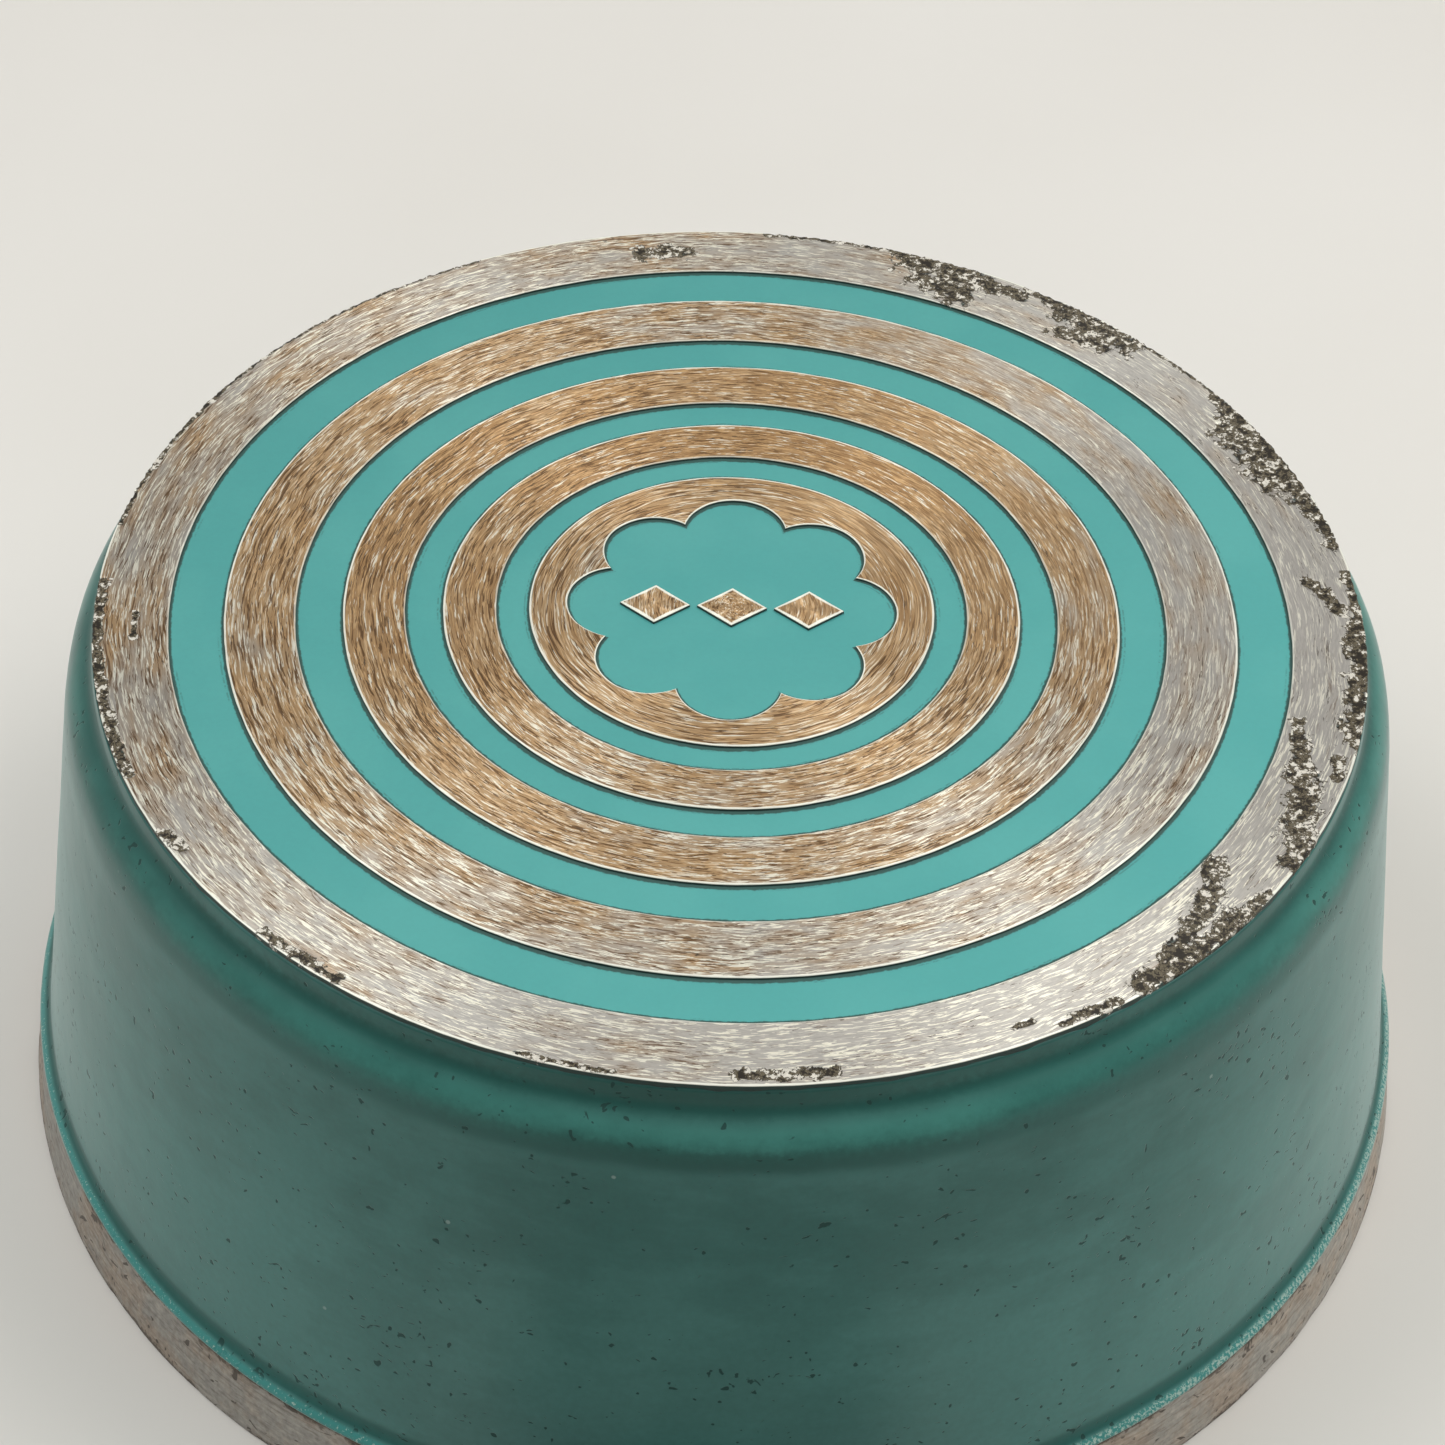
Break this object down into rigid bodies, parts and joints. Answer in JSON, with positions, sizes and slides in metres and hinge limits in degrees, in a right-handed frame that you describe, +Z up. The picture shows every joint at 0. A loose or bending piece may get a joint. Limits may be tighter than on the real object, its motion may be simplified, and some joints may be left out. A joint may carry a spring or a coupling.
{
  "type": "cast-aluminium cooking pot",
  "caption": "Round cast-aluminium cooking pot, upside down on its rim, with a turquoise enamelled wall, a machined ringed base and black loop side handles.",
  "frame": {"origin": "on the pot's axis, in the plane that the rim rests on", "axes": "+Z up along the pot's axis and out of the machined base, handles along -Y (front) and +Y (rear)"},
  "size_m": [0.254, 0.3392, 0.1026],
  "materials": {
    "cast_aluminium": "lathe-turned base rings and rim, heat-stained and pitted, the rest as cast",
    "turquoise_enamel": "satin enamel in the grooves of the base, smooth and nearly unmarked",
    "dark_turquoise_enamel": "darker satin enamel on the wall, with a grey haze and fine dark pits",
    "black_phenolic": "moulded black phenolic, worn to a soft gloss",
    "stamped_aluminium": "stamped and lightly polished",
    "plated_steel": "zinc-plated, dulled"
  },
  "bodies": {
    "root": {"pot_body": "cast_aluminium", "enamel_wall": "dark_turquoise_enamel", "enamel_groove_1": "turquoise_enamel", "enamel_groove_2": "turquoise_enamel", "enamel_groove_3": "turquoise_enamel", "enamel_groove_4": "turquoise_enamel", "enamel_rosette": "turquoise_enamel", "front_flame_guard": "stamped_aluminium", "front_grip": "black_phenolic", "front_screw": "plated_steel", "front_lock_washer": "plated_steel", "rear_flame_guard": "stamped_aluminium", "rear_grip": "black_phenolic", "rear_screw": "plated_steel", "rear_lock_washer": "plated_steel"}
  },
  "joints": []
}
